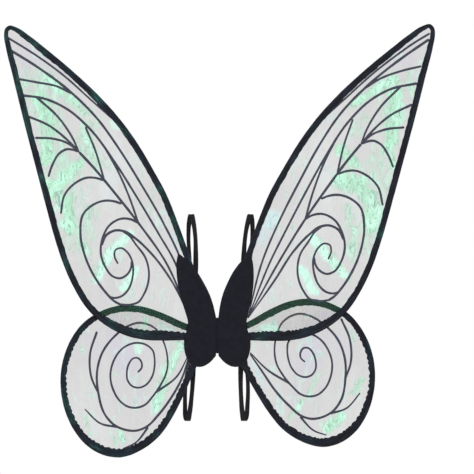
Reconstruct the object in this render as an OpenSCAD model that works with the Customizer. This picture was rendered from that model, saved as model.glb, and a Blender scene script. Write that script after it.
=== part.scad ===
// Costume fairy wings: four wire hoops with bound edges and clear film panels,
// held in two leaf-shaped felt pads that are sewn together down the middle.
// +X is the wearer's right, +Y points at the wearer's back, +Z is up. Millimetres.

/* [Frame wire] */
// Diameter of the steel wire in every hoop
wire_d = 2.0; // [1.6:0.1:2.4]
// Length of the crimped tube that closes each hoop
ferrule_length = 10; // [8:1:11]
// Wall thickness of the crimped tube
ferrule_wall = 0.6; // [0.4:0.1:0.6]

/* [Edge binding] */
// Thickness of one ply of the folded fabric tape
tape_ply = 0.5; // [0.3:0.1:0.5]
// Scale on the tape's width round every wing
tape_width_scale = 1.0; // [0.8:0.05:1.1]

/* [Film] */
// Thickness of the clear film panels
film_t = 0.2; // [0.1:0.1:0.4]

/* [Centre pads] */
// Thickness of the felt covers
felt_t = 1.5; // [1:0.25:2]
// Width of the sewn seam allowance between the two pads
seam_w = 2.6; // [2:0.2:2.8]
// Depth of the whole pad, from the outer face to the wearer's side
pad_depth = 11; // [11:0.5:13]

/* [Shoulder straps] */
// Width of the elastic tape
elastic_w = 7; // [6:0.5:8]
// Thickness of the elastic tape
elastic_t = 1.2; // [0.8:0.1:1.4]

/* [Hand-shaped sides] */
// How far the right lower wing hangs below its drawn outline
right_lower_turn = 0; // [-4:0.5:8]
// How far the left lower wing hangs below its drawn outline
left_lower_turn = 5.5; // [-4:0.5:8]
// Size of the left lower wing's outline against the right one's
left_lower_size = 1.02; // [1:0.005:1.03]
// How far the left upper wing stands above its drawn outline
left_upper_lift = 0.5; // [0:0.25:1]
// Size of the left upper wing's outline against the right one's
left_upper_size = 0.99; // [0.985:0.005:1]
// How far the tip of the right leaf leans outwards
right_leaf_lean = -4; // [-5:0.5:5]
// How far the tip of the left leaf leans outwards
left_leaf_lean = 4; // [-5:0.5:5]
// Angle at which the right strap is sewn, positive with its top outwards
right_strap_slant = 1.4; // [-2:0.2:2]
// Angle at which the left strap is sewn, positive with its top outwards
left_strap_slant = -1.4; // [-2:0.2:2]

/* [Curves] */
// Points made along a curve for each outline point
curve_steps = 3; // [2:1:4]

/* [Hidden] */
$fn = 48;

// Depths along Y, worked out from the wearer's side (y = 0) outwards.
wire_r = wire_d / 2;
binding_half = wire_r + tape_ply;
// The film starts where the wire ends, this far in from the outer edge.
film_inset = binding_half + wire_r;
cover_gap = 0.5;
turn_gap = 0.3;
fixed_gap = 0.2;
web_t = 0.8;
lower_y = -felt_t - cover_gap - binding_half;
web_back_y = lower_y - binding_half - turn_gap;
web_front_y = web_back_y - web_t;
upper_y = web_front_y - fixed_gap - binding_half;
front_y = -pad_depth;
core_front_y = front_y + felt_t;

// Each hoop has a round corner of this radius that lies round a post of the core pad. The tape
// and the film are cut away round the post, and the legs are straight over this length.
root_r = 10 + binding_half;
post_gap = 0.8;
upper_root = [25.5, 7];
lower_root = [22.4, -2.5];
binding_stops_r = 17;
film_stops_r = 16.4;
ferrule_offset = 7;
leg_length = 15;
arc_steps = 9;
root_tape_w = 8;

// Outer edge of the upper wing as [x, z, tape width], from the root along the lower edge,
// up the outer side to the tip and down the leading edge.
upper_points = [
    [70.8, -5.4, 10.5], [97.6, -4.7, 10.5], [124.4, 1.3, 10], [151.2, 14.7, 9.5],
    [173.3, 33.5, 9], [194.7, 65.7, 8.5], [209.3, 97.8, 8.5], [220.3, 130, 8.5],
    [234, 178.2, 8.5], [247.1, 226.5, 8.5], [264.4, 290.8, 8.5], [280.7, 355.1, 8.5],
    [289.4, 389.9, 7.5], [291.9, 406, 6], [290.6, 414.8, 5.2], [285.2, 419.4, 5.2],
    [275.5, 417.2, 6.5], [257.8, 406, 8], [236.9, 389.9, 8.5], [194.7, 355.1, 8.8],
    [160.1, 322.9, 8.8], [131.3, 290.8, 8.8], [108, 258.6, 8.8], [88.7, 226.5, 8.5],
    [70.8, 194.3, 8.5], [52.7, 150.1, 8], [37.9, 109.9, 8], [24.5, 72, 8], [17.5, 40, 8]
];
// Outer edge of the lower wing as [x, z, tape width], from the root along the upper leg, round
// the outer side and back up the lower leg.
lower_points = [
    [44, 21.8, 9], [70.8, 37, 9], [97.6, 48, 9], [124.4, 51.3, 9], [151.2, 45.6, 8.5],
    [176.6, 31, 8], [196.2, 6.7, 7.5], [208.9, -25.5, 7.2], [211.9, -52.3, 7.2],
    [209.2, -79.1, 7.5], [199.5, -107, 8.5], [183.5, -129.5, 10], [163.7, -143, 11],
    [142, -147.9, 11], [115.2, -141.4, 10], [90, -126, 9], [67, -98.8, 8.5], [50.9, -72.9, 8],
    [35.6, -46, 8]
];

// Leaf-shaped felt cover: outer side from the tip to the seam, then inner side back to the tip.
seam_gap = 0.5;
seam_z = [-22, 26];
leaf_seam_x = seam_w / 2 + seam_gap;
leaf_outer = [
    [48.2, 112.2], [50.9, 100.5], [51.5, 88], [50.6, 72], [46.9, 50.5], [41.6, 31],
    [39.1, 19], [40.6, 9.5], [43.6, 1], [44.5, -9], [42.6, -23.5], [37.5, -34], [29, -39.6],
    [20, -39.6], [11, -35], [leaf_seam_x, -25]
];
leaf_inner = [
    [leaf_seam_x, 27], [4.6, 42], [9, 57], [16, 72.5], [24.5, 87.5], [35.4, 101], [48.2, 112.2]
];
// Foam core between the covers, about 4 mm inside the leaf.
core_points = [
    [5.6, -22], [13, -32.5], [24, -36], [34, -33], [39.4, -20], [40.4, -8], [37.6, 6],
    [35.4, 18], [39, 36], [44.6, 58], [47, 80], [46.2, 98], [37.5, 96.5], [27, 83.5],
    [16.5, 64], [9, 44], [5.6, 28]
];

// How far a lower wing can turn above and below its drawn outline, and the directions of its legs.
turn_up = 12;
turn_down = 20;
upper_leg_angle = 28;
lower_leg_angle = -58.5;
upper_lead_angle = 84;

// Strap route on the right side before it is slanted: [x, y, z, twist of the tape in degrees].
strap_x = 32;
strap_base_z = [-26, 84];
strap_route = [
    [32, 5, 96, 0], [32.4, 6.6, 112, 20], [33.6, 11, 134, 38], [36.6, 16.5, 153, 24],
    [40, 22.5, 164.5, 0], [42.6, 30, 155, -20], [43.4, 35.5, 135, -38], [41.2, 40, 105, -42],
    [38.5, 43.5, 62, -40], [34.5, 44.5, 20, -38], [36.5, 42.5, -22, -40], [42.2, 37.5, -64, -42],
    [42.4, 30, -92, -34], [40.4, 22, -111, -14], [38, 16.6, -114, 0], [35.6, 12, -103, 14],
    [33.4, 8, -82, 34], [32.2, 6, -60, 26], [32, 5, -38, 0]
];

felt_colour = [0.12, 0.12, 0.15];
tape_colour = [0.10, 0.13, 0.16];
elastic_colour = [0.09, 0.09, 0.11];
film_colour = [0.80, 0.90, 0.87, 0.5];
wire_colour = [0.62, 0.63, 0.65];
crimp_colour = [0.75, 0.75, 0.77];
foam_colour = [0.85, 0.84, 0.80];
thread_colour = [0.2, 0.2, 0.24];

// ---- curves ----

// In these lists a point's first numbers are its place and the rest ride along with it, such as
// a tape's width or twist. places says how many numbers are its place.
function gap(a, b, places) = norm([for (k = [0:places - 1]) b[k] - a[k]]);

// Slope of the curve at b, between its neighbours a and c: the nearer one counts for more.
function slope(a, b, c, places) = let (u = gap(a, b, places), v = gap(b, c, places))
    u == 0 ? (c - b) / v
    : v == 0 ? (b - a) / u
    : ((b - a) * v / u + (c - b) * u / v) / (u + v);

// A point between b and c on the smooth curve through a, b, c and d.
function between(a, b, c, d, t, places) = let (
    size = gap(b, c, places),
    out = slope(a, b, c, places) * size,
    in = slope(b, c, d, places) * size
) b * (2 * t * t * t - 3 * t * t + 1) + out * (t * t * t - 2 * t * t + t)
    + c * (3 * t * t - 2 * t * t * t) + in * (t * t * t - t * t);

// Smooth curve through every point, both ends included.
function smooth_open(p, steps, places = 2) = let (n = len(p)) concat([
    for (i = [0:n - 2], k = [0:steps - 1])
        between(p[max(i - 1, 0)], p[i], p[i + 1], p[min(i + 2, n - 1)], k / steps, places)
], [p[n - 1]]);

function unit(v) = v / norm(v);
function xz(p) = [p[0], p[1]];

// Direction across a path at point i, to the left of travel; the wings run anticlockwise,
// so this points into the wing.
function across(p, i) = let (
    n = len(p),
    t = unit(xz(p[(i + 1) % n]) - xz(p[(i + n - 1) % n]))
) [-t[1], t[0]];

// The path moved inwards by d.
function inset(p, d) = [for (i = [0:len(p) - 1]) xz(p[i]) + d * across(p, i)];

// The path moved inwards by its own tape width.
function inner_hem(p) = [
    for (i = [0:len(p) - 1]) xz(p[i]) + p[i][2] * tape_width_scale * across(p, i)
];

// Round corner of the outer edge at the root, from angle a to angle b.
function root_arc(c, a, b) = [
    for (k = [0:arc_steps]) let (q = a + (b - a) * k / arc_steps)
        [c[0] + root_r * cos(q), c[1] + root_r * sin(q), root_tape_w]
];

// Point on a leg, beyond the ferrule, that keeps the leg straight. corner is where it leaves the arc.
function leg_point(corner, angle) =
    [corner[0] + leg_length * cos(angle), corner[1] + leg_length * sin(angle), root_tape_w];

function reversed(p) = [for (i = [len(p) - 1:-1:0]) p[i]];
function without_last(p) = [for (i = [0:len(p) - 2]) p[i]];

// Both edges run anticlockwise, start on the leg that the ferrule is not on, and end with the arc.
// The upper wing's ferrule is on its level lower leg, after the arc.
upper_arc = root_arc(upper_root, upper_lead_angle + 90, 270);
upper_edge = concat(
    smooth_open(
        concat([leg_point(upper_arc[arc_steps], 0)], upper_points, [upper_arc[0]]), curve_steps),
    [for (k = [1:arc_steps]) upper_arc[k]]
);
// The lower wing's ferrule is on its upper leg, before the arc. Its point list runs clockwise.
lower_arc = root_arc(lower_root, upper_leg_angle + 90, lower_leg_angle + 270);
lower_edge = concat(
    smooth_open(
        concat([lower_arc[arc_steps]], reversed(lower_points),
               [leg_point(lower_arc[0], upper_leg_angle)]),
        curve_steps),
    without_last(lower_arc)
);

// An outline turned down by an angle and sized about its root corner.
function shaped(edge, root, turn, size) = [
    for (p = edge) let (v = (xz(p) - root) * size) [
        root[0] + v[0] * cos(turn) + v[1] * sin(turn),
        root[1] - v[0] * sin(turn) + v[1] * cos(turn),
        p[2]
    ]
];

// The four wings' outlines, each with its angle and size. Left ones are mirrored later.
right_upper = [upper_edge, 0, 1];
left_upper = [
    shaped(upper_edge, upper_root, -left_upper_lift, left_upper_size),
    -left_upper_lift, left_upper_size
];
right_lower = [shaped(lower_edge, lower_root, right_lower_turn, 1), right_lower_turn, 1];
left_lower = [
    shaped(lower_edge, lower_root, left_lower_turn, left_lower_size),
    left_lower_turn, left_lower_size
];

// ---- shared shapes ----

// Extrudes a flat XZ outline from y0 to y1.
module slab(y0, y1) {
    translate([0, y1, 0]) rotate([90, 0, 0]) linear_extrude(y1 - y0) children();
}

// Extrudes the band between two outlines, one inside the other.
module ring(outer, inner, y0, y1) {
    slab(y0, y1)
        difference() {
            polygon([for (p = outer) xz(p)]);
            polygon(inner);
        }
}

// A round bar along Y.
module bar_y(c, r, y0, y1) {
    translate([c[0], y1, c[1]]) rotate([90, 0, 0]) cylinder(r = r, h = y1 - y0);
}

// Faces of a tube of rings with m points each; closed joins the last ring to the first.
function tube_faces(rings, m, closed) = concat(
    [for (i = [0:rings - (closed ? 1 : 2)], k = [0:m - 1]) let (j = (i + 1) % rings)
        [i * m + k, i * m + (k + 1) % m, j * m + (k + 1) % m]],
    [for (i = [0:rings - (closed ? 1 : 2)], k = [0:m - 1]) let (j = (i + 1) % rings)
        [i * m + k, j * m + (k + 1) % m, j * m + k]],
    closed ? [] : [[for (k = [m - 1:-1:0]) k], [for (k = [0:m - 1]) (rings - 1) * m + k]]
);

// Round wire along an open flat path in the plane y.
module flat_wire(p, y, r, sides) {
    n = len(p);
    points = [
        for (i = [0:n - 1], k = [0:sides - 1]) let (
            t = unit(p[min(i + 1, n - 1)] - p[max(i - 1, 0)]),
            q = 360 * k / sides,
            o = r * cos(q)
        ) [p[i][0] - t[1] * o, y + r * sin(q), p[i][1] + t[0] * o]
    ];
    polyhedron(points, tube_faces(n, sides, false), convexity = 6);
}

// Where a hoop's straight leg leaves its round corner, on the wire's centreline.
function leg_start(root, leg_angle, size) =
    root + (root_r * size - binding_half) * [-sin(leg_angle), cos(leg_angle)];

// Wire of a hoop, butted inside the ferrule on its straight leg. side is 1 for an upper leg and
// -1 for a lower one. The outline's points start at index first, the one after the leg's corner.
module hoop_wire(edge, root, leg_angle, side, size, y, first) {
    line = inset(edge, binding_half);
    n = len(line);
    butt = 0.3;
    leg = [cos(leg_angle), sin(leg_angle)];
    start = leg_start(root, side > 0 ? leg_angle : leg_angle + 180, size);
    color(wire_colour)
        flat_wire(
            concat([start + leg * (ferrule_offset - side * butt)],
                   [for (i = [first:first + n - 1]) line[i % n]],
                   [start + leg * (ferrule_offset + side * butt)]),
            y, wire_r, 8);
}

// Crimped tube on the leg, a sliding fit on the wire.
module hoop_ferrule(root, leg_angle, side, size, y) {
    fit = 0.02;
    c = leg_start(root, side > 0 ? leg_angle : leg_angle + 180, size);
    color(crimp_colour)
        translate([c[0], y, c[1]])
            rotate([0, 90 - leg_angle, 0])
                translate([0, 0, ferrule_offset - ferrule_length / 2])
                    difference() {
                        cylinder(r = wire_r + ferrule_wall, h = ferrule_length);
                        translate([0, 0, -1])
                            cylinder(r = wire_r + fit, h = ferrule_length + 2);
                    }
}

// Folded tape: a round-backed fold that holds the wire, and a flat hem of two plies that closes
// on the film. Its stretch round the post is left out, where the bare wire is sewn down.
module binding(edge, root, y) {
    fold_w = wire_d + 2 * tape_ply;
    hem_half = tape_ply + film_t / 2;
    film_slack = 0.1;
    color(tape_colour)
        difference() {
            union() {
                ring(edge, inset(edge, fold_w), y - binding_half, y + binding_half);
                ring(inset(edge, fold_w - tape_ply), inner_hem(edge), y - hem_half, y + hem_half);
            }
            ring(inset(edge, tape_ply), inset(edge, film_inset), y - wire_r, y + wire_r);
            slab(y - film_t / 2, y + film_t / 2) polygon(inset(edge, film_inset - film_slack));
            bar_y(root, binding_stops_r, y - binding_half - 1, y + binding_half + 1);
        }
}

// Clear panel, cut away round the post at its root.
module film(edge, root, y) {
    color(film_colour)
        difference() {
            slab(y - film_t / 2, y + film_t / 2)
                polygon(inset(edge, film_inset));
            bar_y(root, film_stops_r, y - 1, y + 1);
        }
}

// A point above the seam leans outwards in proportion to its height.
leaf_top = leaf_outer[0][1];
function leant(p, lean) =
    [p[0] + lean * max(p[1] - seam_z[1], 0) / (leaf_top - seam_z[1]), p[1]];

module leaf_shape(lean) {
    polygon([
        for (p = concat(smooth_open(leaf_outer, curve_steps), smooth_open(leaf_inner, curve_steps)))
            leant(p, lean)
    ]);
}

// ---- pieces of one side, drawn on the right; the left ones are mirrored ----

module front_cover(lean) {
    color(felt_colour) slab(front_y, core_front_y) leaf_shape(lean);
}

module back_cover(lean) {
    // Cut back beside the seam, so that the pads can also bend towards the wearer.
    relief_x = 4.2;
    color(felt_colour)
        difference() {
            slab(-felt_t, 0) leaf_shape(lean);
            translate([-1, -felt_t - 1, -60]) cube([relief_x + 1, felt_t + 2, 120]);
        }
}

// Foam core: posts for the two hoops, a fitted recess for the upper wing on the outer side and
// a fan-shaped one on the wearer's side, in which the lower wing turns.
module core_pad(upper, lean) {
    reach = 70;
    bite = 0.2;
    post_r = root_r - film_inset - post_gap;
    fan_r = root_r * left_lower_size + cover_gap;
    fan_steps = 6;
    up = upper_leg_angle + turn_up + 2;
    down = lower_leg_angle - turn_down - 7;
    fan = [for (k = [0:fan_steps]) let (q = up + 90 + (down - up + 180) * k / fan_steps)
        lower_root + fan_r * [cos(q), sin(q)]];
    color(foam_colour) {
        difference() {
            slab(core_front_y, -felt_t)
                polygon([for (p = smooth_open(core_points, curve_steps)) leant(p, lean)]);
            slab(core_front_y - 1, web_front_y) polygon(inset(upper[0], -turn_gap));
            slab(web_back_y, 0)
                polygon(concat(
                    [lower_root + reach * [1, 0], fan[0] + reach * [cos(up), sin(up)]],
                    fan,
                    [fan[len(fan) - 1] + reach * [cos(down), sin(down)]]
                ));
        }
        bar_y(upper_root, post_r, core_front_y, web_front_y + bite);
        bar_y(lower_root, post_r, web_back_y - bite, -felt_t);
    }
}

module upper_wire(wing) {
    hoop_wire(wing[0], upper_root, -wing[1], -1, wing[2], upper_y, 0);
}

module upper_ferrule(wing) {
    hoop_ferrule(upper_root, -wing[1], -1, wing[2], upper_y);
}

module upper_binding(wing) {
    binding(wing[0], upper_root, upper_y);
}

module upper_film(wing) {
    film(wing[0], upper_root, upper_y);
}

module lower_wire(wing) {
    arc_first = len(wing[0]) - arc_steps;
    hoop_wire(wing[0], lower_root, upper_leg_angle - wing[1], 1, wing[2], lower_y, arc_first);
}

module lower_ferrule(wing) {
    hoop_ferrule(lower_root, upper_leg_angle - wing[1], 1, wing[2], lower_y);
}

module lower_binding(wing) {
    binding(wing[0], lower_root, lower_y);
}

module lower_film(wing) {
    film(wing[0], lower_root, lower_y);
}

// Leans a strap piece about the lower end of its sewn stretch.
module slanted(angle) {
    multmatrix([
        [1, 0, tan(angle), -tan(angle) * strap_base_z[0]], [0, 1, 0, 0], [0, 0, 1, 0], [0, 0, 0, 1]
    ]) children();
}

// Stretch of elastic sewn flat on the back cover.
module strap_base(angle) {
    color(elastic_colour)
        slanted(angle)
            translate([strap_x - elastic_w / 2, 0, strap_base_z[0]])
                cube([elastic_w, elastic_t, strap_base_z[1] - strap_base_z[0]]);
}

// Free loop of elastic: a flat tape swept along its route, turned by its twist.
module strap_loop(angle) {
    path = smooth_open(strap_route, curve_steps, 3);
    n = len(path);
    half = [elastic_w / 2, elastic_t / 2];
    points = [
        for (i = [0:n - 1], c = [[-1, -1], [1, -1], [1, 1], [-1, 1]]) let (
            a = path[max(i - 1, 0)],
            b = path[min(i + 1, n - 1)],
            t = unit([b[0] - a[0], b[1] - a[1], b[2] - a[2]]),
            flat = unit([1, 0, 0] - t[0] * t),
            up = cross(t, flat),
            w = cos(path[i][3]) * flat + sin(path[i][3]) * up,
            s = cross(t, w)
        ) [path[i][0], path[i][1], path[i][2]] + c[0] * half[0] * w + c[1] * half[1] * s
    ];
    color(elastic_colour)
        slanted(angle) polyhedron(points, tube_faces(n, 4, false), convexity = 6);
}

// Bar tacks: short rows of thread through the elastic and the cover behind it.
module strap_tacks(angle) {
    rows = 4;
    pitch = 2.2;
    end_gap = 3;
    side_gap = 1;
    thread_d = 0.7;
    depth = 0.3;
    color(thread_colour)
        slanted(angle)
            for (z = [strap_base_z[0] + end_gap, strap_base_z[1] - end_gap - (rows - 1) * pitch],
                 k = [0:rows - 1])
                translate([strap_x - elastic_w / 2 + side_gap, elastic_t - depth, z + k * pitch])
                    rotate([0, 90, 0])
                        cylinder(d = thread_d, h = elastic_w - 2 * side_gap, $fn = 16);
}

// ---- centre ----

// Seam allowance: the two leaves' edges turned in and sewn together.
module centre_seam() {
    color(felt_colour)
        translate([-seam_w / 2, front_y, seam_z[0]])
            cube([seam_w, pad_depth, seam_z[1] - seam_z[0]]);
}

// Threads that run through the seam allowance.
module seam_stitches() {
    pitch = 5;
    proud = 0.15;
    color(thread_colour)
        for (z = [seam_z[0] + 4:pitch:seam_z[1] - 4], y = [-7, -4])
            translate([-seam_w / 2 - proud, y, z])
                rotate([0, 90, 0]) cylinder(d = 0.7, h = seam_w + 2 * proud, $fn = 16);
}

module mirrored() {
    mirror([1, 0, 0]) children();
}

centre_seam();
seam_stitches();

front_cover(right_leaf_lean);  // right_front_cover
back_cover(right_leaf_lean);  // right_back_cover
core_pad(right_upper, right_leaf_lean);  // right_core_pad
upper_wire(right_upper);  // right_upper_wire
upper_ferrule(right_upper);  // right_upper_ferrule
upper_binding(right_upper);  // right_upper_binding
upper_film(right_upper);  // right_upper_film
lower_wire(right_lower);  // right_lower_wire
lower_ferrule(right_lower);  // right_lower_ferrule
lower_binding(right_lower);  // right_lower_binding
lower_film(right_lower);  // right_lower_film
strap_base(right_strap_slant);  // right_strap_base
strap_loop(right_strap_slant);  // right_strap_loop
strap_tacks(right_strap_slant);  // right_strap_tacks

mirrored() front_cover(left_leaf_lean);  // left_front_cover
mirrored() back_cover(left_leaf_lean);  // left_back_cover
mirrored() core_pad(left_upper, left_leaf_lean);  // left_core_pad
mirrored() upper_wire(left_upper);  // left_upper_wire
mirrored() upper_ferrule(left_upper);  // left_upper_ferrule
mirrored() upper_binding(left_upper);  // left_upper_binding
mirrored() upper_film(left_upper);  // left_upper_film
mirrored() lower_wire(left_lower);  // left_lower_wire
mirrored() lower_ferrule(left_lower);  // left_lower_ferrule
mirrored() lower_binding(left_lower);  // left_lower_binding
mirrored() lower_film(left_lower);  // left_lower_film
mirrored() strap_base(left_strap_slant);  // left_strap_base
mirrored() strap_loop(left_strap_slant);  // left_strap_loop
mirrored() strap_tacks(left_strap_slant);  // left_strap_tacks
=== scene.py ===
"""Costume fairy wings: four wire hoops with bound edges, iridescent film and inked veins,
two felt leaf pads sewn down the middle, and an elastic arm loop on each side."""

import math

import bmesh
import bpy
import numpy as np
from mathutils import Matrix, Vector, noise
from mathutils.geometry import delaunay_2d_cdt


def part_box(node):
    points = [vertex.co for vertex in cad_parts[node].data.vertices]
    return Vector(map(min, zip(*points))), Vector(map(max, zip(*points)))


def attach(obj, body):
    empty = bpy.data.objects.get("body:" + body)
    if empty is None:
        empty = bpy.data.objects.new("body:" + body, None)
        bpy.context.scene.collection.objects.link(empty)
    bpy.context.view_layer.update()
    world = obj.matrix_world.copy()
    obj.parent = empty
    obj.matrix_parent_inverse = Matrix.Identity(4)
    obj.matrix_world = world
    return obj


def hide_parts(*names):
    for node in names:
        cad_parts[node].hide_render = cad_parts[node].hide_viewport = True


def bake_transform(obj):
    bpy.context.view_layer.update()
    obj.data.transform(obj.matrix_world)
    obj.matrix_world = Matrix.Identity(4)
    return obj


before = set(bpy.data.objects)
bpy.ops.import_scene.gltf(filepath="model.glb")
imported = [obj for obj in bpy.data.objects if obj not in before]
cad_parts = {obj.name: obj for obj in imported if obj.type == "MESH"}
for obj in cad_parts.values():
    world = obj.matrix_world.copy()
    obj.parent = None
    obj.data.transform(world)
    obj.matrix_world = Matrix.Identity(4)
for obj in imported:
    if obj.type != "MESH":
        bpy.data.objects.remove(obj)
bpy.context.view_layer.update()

# Lengths in this script are millimetres until a mesh is made.
MM = 0.001

# Sizes shared with the part.
BINDING_HALF = 1.5
FILM_INSET = 2.5
FILM_STOPS_R = 16.4
ROOT_R = 11.5
UPPER_ROOT = np.array([25.5, 7.0])
LOWER_ROOT = np.array([22.4, -2.5])
LEG_UP_LIMIT = 40.0
LEG_DOWN_LIMIT = -78.5
STRAP_WIDTH = 7.0
STRAP_THICKNESS = 1.2

# Mirror sign, and how each wing's drawing is turned down and sized about its root.
SIDES = {"right": 1, "left": -1}
SHAPING = {
    ("right", "upper"): (0.0, 1.0),
    ("left", "upper"): (-0.5, 0.99),
    ("right", "lower"): (0.0, 1.0),
    ("left", "lower"): (5.5, 1.02),
}

# Depths of the leaves: the crown, the rim clear of the wings, over a wing and beside the seam.
LEAF_Y = {"front": -11.0, "back": 0.0}
RIM_CLEAR_Y = {"front": -5.75, "back": -5.55}
RIM_OVER_WING_Y = {"front": -9.5, "back": -1.85}
RIM_BY_SEAM_Y = {"front": -9.9, "back": -0.7}
LEAF_PLY = {"front": 0.9, "back": 0.85}
RIM_TUCK = 0.9
# The back leaves stop short of the seam, so that the pads can fold towards the wearer.
BACK_LEAF_FROM_X = 4.5

# Route of the free arm loop on the right, as [x, y, z, twist], before the strap is slanted.
STRAP_ROUTE = [
    [32, 5, 96, 0], [32.4, 6.6, 112, 20], [33.6, 11, 134, 38], [36.6, 16.5, 153, 24],
    [40, 22.5, 164.5, 0], [42.6, 30, 155, -20], [43.4, 35.5, 135, -38], [41.2, 40, 105, -42],
    [38.5, 43.5, 62, -40], [34.5, 44.5, 20, -38], [36.5, 42.5, -22, -40], [42.2, 37.5, -64, -42],
    [42.4, 30, -92, -34], [40.4, 22, -111, -14], [38, 16.6, -114, 0], [35.6, 12, -103, 14],
    [33.4, 8, -82, 34], [32.2, 6, -60, 26], [32, 5, -38, 0],
]
STRAP_SEWN_Y = 1.2
STRAP_SEWN_Z = (-26.0, 84.0)
STRAP_SLANT = {"right": math.radians(1.4), "left": math.radians(-1.4)}

# Folded tape: cloth thickness, where its plies leave the wire, and the running stitch.
CLOTH_PLY = 0.42
FLAP_FROM = 3.3
STITCH_PITCH = 4.2
STITCH_HALF = 1.4
STITCH_AT = 0.74

# Film: half its drawn thickness, how far it reaches under the tape and stands off the post.
FILM_HALF_T = 0.08
FILM_UNDER_TAPE = 0.45
FILM_OFF_POST = 0.3

# How the print slipped on each film: turned down, then moved in and up. It holds its place
# near the pads and along the leading edges.
PRINT_SLIP = {
    ("left", "upper"): (3.8, -19.7, 2.0),
    ("left", "lower"): (0.0, -9.5, -4.0),
}
# The lines widen by these factors, near the pads and out in the wing.
PRINT_WIDENING = (0.8, 1.5)

# Painted iridescent reflections of the pearl layer, where its crumples catch the light, on
# each film: kind, strength, width and line of each stroke.
REFLECTION_STROKES = {
    ("right", "upper"): [
        ("mint", 0.5, 34, [(240, 335), (229, 280), (217, 225), (207, 175), (192, 125)]),
        ("mint", 1.05, 11, [(182, 311), (212, 331), (238, 346)]),
        ("mint", 0.7, 8, [(257, 356), (260, 340), (263, 326)]),
        ("mint", 1.25, 19, [(239, 326), (236, 292), (231, 258)]),
        ("mint", 0.55, 18, [(196, 294), (188, 276)]),
        ("mint", 1.05, 10, [(224, 258), (231, 244), (236, 230)]),
        ("mint", 1.05, 14, [(164, 251), (175, 242), (186, 231)]),
        ("mint", 1.25, 22, [(168, 210), (194, 200), (208, 172), (209, 148)]),
        ("mint", 0.62, 18, [(179, 170), (182, 142), (181, 114)]),
        ("pale", 1.3, 9, [(127, 135), (146, 110), (170, 84)]),
        ("mint", 0.5, 12, [(133, 132), (152, 108), (174, 82)]),
        ("pale", 1.3, 9, [(114, 93), (121, 75), (131, 60)]),
        ("pale", 0.7, 10, [(206, 186), (214, 164), (212, 150)]),
        ("mint", 0.6, 4, [(90, 202), (97, 183)]),
        ("mint", 0.5, 4, [(99, 152), (104, 138)]),
        ("mint", 0.45, 5, [(92, 106), (86, 92)]),
        ("blue", 0.75, 14, [(74, 163), (67, 146), (60, 128)]),
        ("blue", 0.5, 10, [(143, 290), (150, 299)]),
        ("pale", 0.6, 9, [(58, 15), (80, 9)]),
    ],
    ("left", "upper"): [
        ("mint", 0.6, 36, [(238, 340), (225, 290), (208, 235), (200, 190), (185, 130)]),
        ("mint", 0.6, 10, [(254, 357), (258, 338)]),
        ("mint", 0.85, 13, [(230, 349), (198, 320), (176, 301)]),
        ("mint", 1.25, 18, [(237, 320), (226, 290), (228, 238)]),
        ("mint", 0.7, 20, [(173, 281), (176, 253), (161, 234)]),
        ("pale", 0.7, 9, [(141, 287), (134, 281)]),
        ("mint", 1.25, 14, [(187, 231), (199, 220), (211, 206)]),
        ("mint", 1.25, 20, [(223, 200), (199, 172), (197, 148)]),
        ("pale", 0.7, 9, [(214, 196), (212, 172)]),
        ("mint", 0.62, 16, [(169, 172), (177, 139), (173, 113)]),
        ("pale", 1.3, 9, [(117, 137), (139, 116), (162, 77)]),
        ("mint", 0.5, 12, [(123, 136), (144, 116), (166, 78)]),
        ("pale", 1.3, 8, [(108, 90), (126, 64)]),
        ("mint", 0.6, 5, [(87, 197), (91, 167)]),
        ("blue", 0.8, 6, [(61, 139), (55, 118)]),
        ("mint", 0.6, 9, [(94, 25), (100, 8)]),
    ],
    ("right", "lower"): [
        ("mint", 0.5, 5, [(146, -22), (120, -31)]),
        ("mint", 0.7, 7, [(136, -52), (116, -84), (97, -109)]),
        ("mint", 1.05, 8, [(194, -58), (182, -75)]),
        ("mint", 1.25, 12, [(166, -107), (150, -123)]),
        ("mint", 0.5, 6, [(181, 8), (184, -6)]),
        ("blue", 0.8, 6, [(47, -33), (63, -65)]),
        ("mint", 0.5, 4, [(120, -114), (114, -125)]),
    ],
    ("left", "lower"): [
        ("pale", 0.8, 9, [(96, 22), (105, -19)]),
        ("mint", 0.9, 12, [(50, -10), (64, -42), (80, -93)]),
        ("pale", 0.7, 6, [(56, -20), (66, -52)]),
        ("mint", 0.7, 5, [(178, -106), (169, -131)]),
        ("mint", 1.05, 6, [(131, -127), (126, -139)]),
        ("mint", 0.7, 6, [(141, -134), (136, -145)]),
        ("mint", 0.4, 5, [(138, -50), (130, -52)]),
        ("mint", 0.4, 6, [(181, -12), (180, -22)]),
    ],
}

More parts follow.
